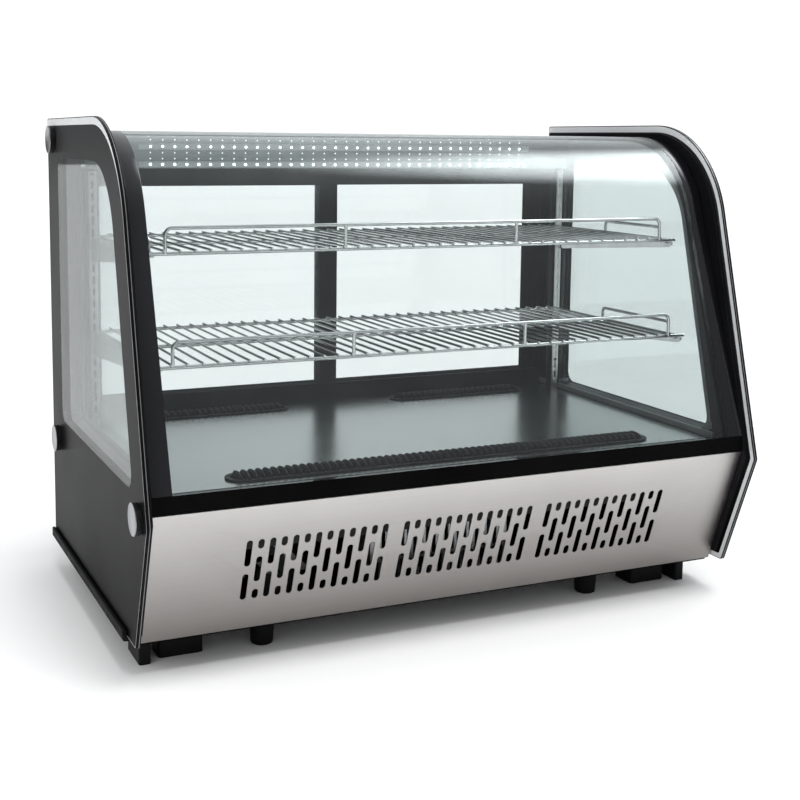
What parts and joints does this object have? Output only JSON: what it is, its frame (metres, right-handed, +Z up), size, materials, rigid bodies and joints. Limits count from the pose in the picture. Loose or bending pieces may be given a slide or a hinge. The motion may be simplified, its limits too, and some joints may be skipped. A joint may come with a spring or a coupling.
{
  "type": "countertop refrigerated display case",
  "caption": "Countertop refrigerated bakery display case with curved front glass, printed glass ends, wire shelves, slotted steel front and sliding rear doors.",
  "frame": {"origin": "middle of the footprint, on the surface the feet stand on", "axes": "+X to the right seen from the front, +Y towards the staff side with the sliding doors, +Z up"},
  "size_m": [0.9006, 0.568, 0.686],
  "materials": {
    "clear_glass": "clear tempered",
    "printed_glass": "tempered, dark print with a silver margin and a clear window",
    "black_paint": "satin black",
    "black_moulding": "moulded black",
    "black_aluminium": "black anodised",
    "rubber": "matt",
    "brushed_steel": "brushed",
    "chrome": "plated",
    "cap_metal": "turned",
    "led_lens": "clear lens",
    "liner": "moulded",
    "aluminium_fins": "bare",
    "copper": "bare tube",
    "black_plastic": "moulded",
    "switch_red": "moulded"
  },
  "bodies": {
    "case": {"end_glass_left": "printed_glass", "end_glass_right": "printed_glass", "cap_top_left": "cap_metal", "cap_top_right": "cap_metal", "cap_rear_left": "cap_metal", "cap_rear_right": "cap_metal", "cap_front_left": "cap_metal", "cap_front_right": "cap_metal", "base_pan": "black_paint", "fan_shroud": "black_paint", "compressor": "black_paint", "side_frame_left": "black_moulding", "side_frame_right": "black_moulding", "evaporator_fan_frame": "black_moulding", "corner_foot_left": "black_moulding", "corner_foot_right": "black_moulding", "rear_frame": "black_aluminium", "front_sill": "black_aluminium", "side_pane_left": "clear_glass", "side_pane_right": "clear_glass", "front_glass": "clear_glass", "front_panel": "brushed_steel", "top_cover": "brushed_steel", "led_channel": "brushed_steel", "deck_pan": "brushed_steel", "rear_panel": "brushed_steel", "pilaster_left": "brushed_steel", "pilaster_right": "brushed_steel", "led_diffuser": "led_lens", "air_grille_front": "black_plastic", "air_grille_rear_left": "black_plastic", "air_grille_rear_right": "black_plastic", "power_inlet": "black_plastic", "insulated_tub": "liner", "electrical_box": "liner", "rubber_foot_front_left": "rubber", "rubber_foot_front_right": "rubber", "rubber_foot_rear_left": "rubber", "rubber_foot_rear_right": "rubber", "skid_strip_left": "rubber", "skid_strip_right": "rubber", "shelf_lower": "chrome", "shelf_upper": "chrome", "bracket_lower_left": "chrome", "bracket_lower_right": "chrome", "bracket_upper_left": "chrome", "bracket_upper_right": "chrome", "condenser_coil": "aluminium_fins", "evaporator_coil": "aluminium_fins", "refrigerant_line": "copper"},
    "left_door": {"door_frame_left": "black_aluminium", "door_glass_left": "clear_glass"},
    "right_door": {"door_frame_right": "black_aluminium", "door_glass_right": "clear_glass"},
    "condenser_fan": {"condenser_fan": "black_plastic"},
    "evaporator_fan": {"evaporator_fan": "black_plastic"},
    "thermostat": {"thermostat_knob": "black_plastic"},
    "power_rocker": {"power_switch": "switch_red"},
    "lamp_rocker": {"lamp_switch": "black_plastic"}
  },
  "joints": [
    {"name": "left_door_slide", "type": "slide", "parent": "case", "child": "left_door", "axis": [1, 0, 0], "range_m": [0, 0.39]},
    {"name": "right_door_slide", "type": "slide", "parent": "case", "child": "right_door", "axis": [1, 0, 0], "range_m": [-0.39, 0]},
    {"name": "condenser_fan_spin", "type": "hinge", "parent": "case", "child": "condenser_fan", "pos_m": [0, -0.1052, 0.0964], "axis": [0, 1, 0], "continuous": true},
    {"name": "evaporator_fan_spin", "type": "hinge", "parent": "case", "child": "evaporator_fan", "pos_m": [0.19, 0.07, 0.1908], "axis": [0, 0, 1], "continuous": true},
    {"name": "thermostat_turn", "type": "hinge", "parent": "case", "child": "thermostat", "pos_m": [0.25, 0.263, 0.145], "axis": [0, 1, 0], "range_deg": [0, 270]},
    {"name": "power_rock", "type": "hinge", "parent": "case", "child": "power_rocker", "pos_m": [0.345, 0.26, 0.145], "axis": [1, 0, 0], "range_deg": [0, 7]},
    {"name": "lamp_rock", "type": "hinge", "parent": "case", "child": "lamp_rocker", "pos_m": [0.305, 0.26, 0.145], "axis": [1, 0, 0], "range_deg": [0, 7]}
  ]
}
